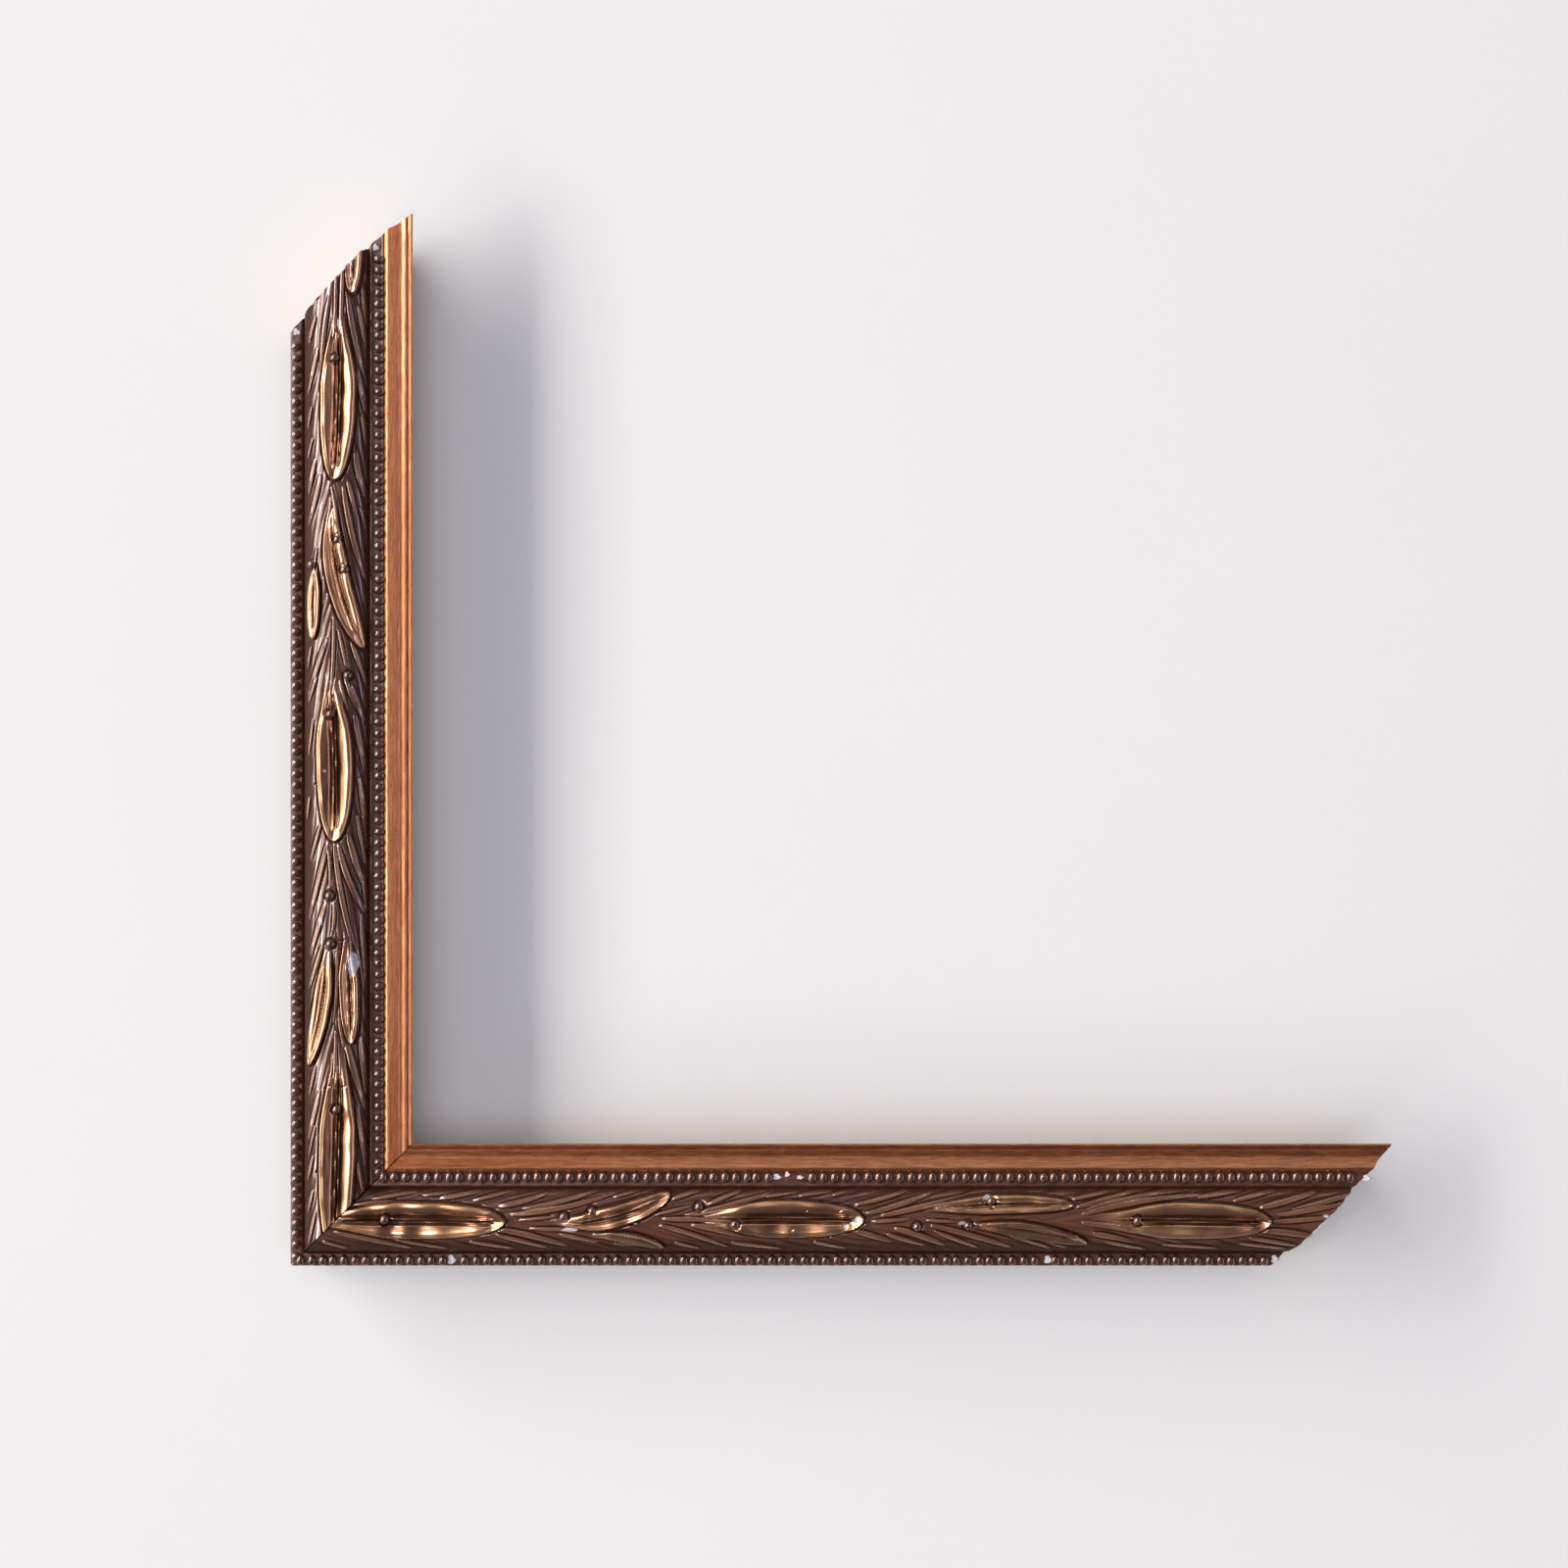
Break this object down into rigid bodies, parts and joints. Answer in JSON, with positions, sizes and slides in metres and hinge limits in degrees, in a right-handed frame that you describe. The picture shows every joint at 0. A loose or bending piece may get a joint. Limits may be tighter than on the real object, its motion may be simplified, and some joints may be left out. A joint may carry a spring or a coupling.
{
  "type": "picture frame moulding corner",
  "caption": "Mitred corner of carved and beaded picture frame moulding: a crowned leaf-and-berry field between bead rows, a scooped lip, and a rabbet behind it.",
  "frame": {"origin": "middle of the bounding box, on the underside that the corner lies on", "axes": "+Z out of the carved face, +X along the cross rail away from the corner, +Y along the upright rail away from the corner"},
  "size_m": [0.225, 0.215, 0.0203],
  "materials": {
    "bronzed_wood": "dark bronzed gilding over pressed gesso on wood, rubbed to gold on the high leaves, satin copper on the lip"
  },
  "bodies": {
    "root": {"cross_rail": "bronzed_wood", "upright_rail": "bronzed_wood"}
  },
  "joints": []
}
